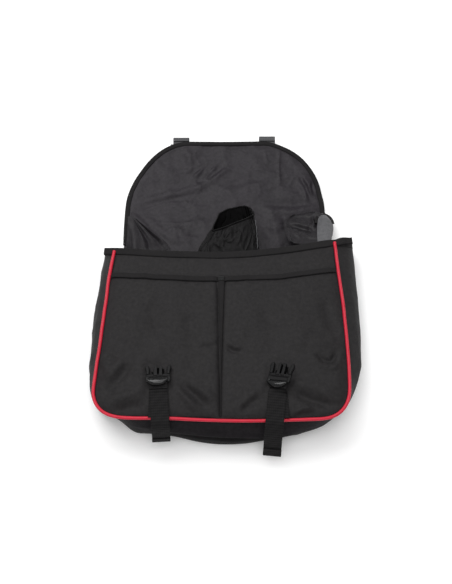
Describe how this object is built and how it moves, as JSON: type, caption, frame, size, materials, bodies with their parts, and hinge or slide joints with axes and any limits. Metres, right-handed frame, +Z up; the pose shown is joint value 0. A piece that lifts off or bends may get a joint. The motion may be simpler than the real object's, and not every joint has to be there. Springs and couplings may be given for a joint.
{
  "type": "flap bag",
  "caption": "Soft black flap bag lying open on its back: two front pockets, red piping, lined flap with webbing tabs, side-release buckles on straps, and an inner pouch.",
  "frame": {"origin": "on the flat underside of the back panel, on the bag's centre line, 119 mm from the bottom seam", "axes": "+Z up from the surface the bag lies on, +Y from the base towards the tip of the opened flap, +X to the right as seen from the base"},
  "size_m": [0.4173, 0.5761, 0.0806],
  "materials": {
    "shell_fabric": "woven polyester, black, coated",
    "lining_fabric": "nylon taffeta, charcoal, slight sheen",
    "pouch_fabric": "light black nylon, slight sheen",
    "interlining": "thin soft foam",
    "binding_tape": "ribbed grosgrain tape, black",
    "piping_red": "smooth red piping, satin",
    "webbing": "woven webbing, black",
    "buckle_plastic": "moulded black acetal, semi gloss",
    "elastic": "gathered elastic edge",
    "stitching": "black thread"
  },
  "bodies": {
    "root": {"front_panel": "shell_fabric", "front_interlining": "interlining", "front_lining": "lining_fabric", "back_panel": "shell_fabric", "back_interlining": "interlining", "back_lining": "lining_fabric", "side_gusset_left": "shell_fabric", "bottom_gusset": "shell_fabric", "side_gusset_right": "shell_fabric", "gusset_lining": "lining_fabric", "piping": "piping_red", "mouth_binding_front": "binding_tape", "mouth_binding_left": "binding_tape", "mouth_binding_right": "binding_tape", "left_pocket": "shell_fabric", "left_pocket_hem": "shell_fabric", "right_pocket": "shell_fabric", "right_pocket_hem": "shell_fabric", "pocket_divider": "binding_tape", "divider_bartack": "stitching", "inner_pouch": "pouch_fabric", "pouch_elastic": "elastic", "left_ear": "lining_fabric", "right_ear": "lining_fabric"},
    "flap_spine": {"flap_spine_outer": "shell_fabric", "flap_spine_lining": "lining_fabric", "flap_spine_binding": "binding_tape"},
    "flap_panel": {"flap_outer": "shell_fabric", "flap_lining": "lining_fabric", "flap_binding": "binding_tape", "left_tab": "webbing", "right_tab": "webbing"},
    "socket_left": {"left_buckle_socket": "buckle_plastic", "left_socket_webbing": "webbing"},
    "socket_right": {"right_buckle_socket": "buckle_plastic", "right_socket_webbing": "webbing"},
    "strap_left": {"left_strap": "webbing", "left_buckle_plug": "buckle_plastic"},
    "strap_right": {"right_strap": "webbing", "right_buckle_plug": "buckle_plastic"},
    "tail_left": {"left_strap_tail": "webbing"},
    "tail_right": {"right_strap_tail": "webbing"},
    "arm_left_inner": {"left_arm_inner": "buckle_plastic"},
    "arm_left_outer": {"left_arm_outer": "buckle_plastic"},
    "arm_right_outer": {"right_arm_outer": "buckle_plastic"},
    "arm_right_inner": {"right_arm_inner": "buckle_plastic"}
  },
  "joints": [
    {"name": "flap_hinge", "type": "hinge", "parent": "root", "child": "flap_spine", "pos_m": [0, 0.203, 0.001], "axis": [1, 0, 0], "range_deg": [0, 90], "deforming": ["inner_pouch", "pouch_elastic", "left_ear", "right_ear"]},
    {"name": "flap_fold", "type": "hinge", "parent": "flap_spine", "child": "flap_panel", "pos_m": [0, 0.281, 0.001], "axis": [1, 0, 0], "range_deg": [0, 84]},
    {"name": "left_socket_swing", "type": "hinge", "parent": "flap_panel", "child": "socket_left", "pos_m": [-0.0785, 0.4133, 0.0127], "axis": [1, 0, 0], "range_deg": [0, 180]},
    {"name": "right_socket_swing", "type": "hinge", "parent": "flap_panel", "child": "socket_right", "pos_m": [0.072, 0.4133, 0.0127], "axis": [1, 0, 0], "range_deg": [0, 180]},
    {"name": "left_strap_swing", "type": "hinge", "parent": "root", "child": "strap_left", "pos_m": [-0.098, -0.118, 0.0695], "axis": [0.9983, 0.0576, 0], "range_deg": [0, 120]},
    {"name": "left_tail_hinge", "type": "hinge", "parent": "strap_left", "child": "tail_left", "pos_m": [-0.10049, -0.07487, 0.072], "axis": [0.9983, 0.0576, 0], "range_deg": [-80, 0]},
    {"name": "left_buckle_squeeze", "type": "hinge", "parent": "strap_left", "child": "arm_left_inner", "pos_m": [-0.08398, -0.05188, 0.077], "axis": [0, 0, 1], "range_deg": [0, 8], "stiffness_Nm_per_rad": 0.02},
    {"name": "left_buckle_squeeze_other", "type": "hinge", "parent": "strap_left", "child": "arm_left_outer", "pos_m": [-0.11952, -0.05393, 0.077], "axis": [0, 0, 1], "range_deg": [-8, 0], "stiffness_Nm_per_rad": 0.02},
    {"name": "right_strap_swing", "type": "hinge", "parent": "root", "child": "strap_right", "pos_m": [0.0765, -0.118, 0.0695], "axis": [0.9917, -0.1288, 0], "range_deg": [0, 120]},
    {"name": "right_tail_hinge", "type": "hinge", "parent": "strap_right", "child": "tail_right", "pos_m": [0.08206, -0.07516, 0.072], "axis": [0.9917, -0.1288, 0], "range_deg": [-80, 0]},
    {"name": "right_buckle_squeeze", "type": "hinge", "parent": "strap_right", "child": "arm_right_outer", "pos_m": [0.10255, -0.05564, 0.077], "axis": [0, 0, 1], "range_deg": [0, 8], "stiffness_Nm_per_rad": 0.02},
    {"name": "right_buckle_squeeze_other", "type": "hinge", "parent": "strap_right", "child": "arm_right_inner", "pos_m": [0.06725, -0.05105, 0.077], "axis": [0, 0, 1], "range_deg": [-8, 0], "stiffness_Nm_per_rad": 0.02}
  ],
  "couplings": [
    {"joint": "left_tail_hinge", "follows": "left_strap_swing", "ratio": -0.66},
    {"joint": "left_buckle_squeeze_other", "follows": "left_buckle_squeeze", "ratio": -1},
    {"joint": "right_tail_hinge", "follows": "right_strap_swing", "ratio": -0.66},
    {"joint": "right_buckle_squeeze_other", "follows": "right_buckle_squeeze", "ratio": -1}
  ]
}
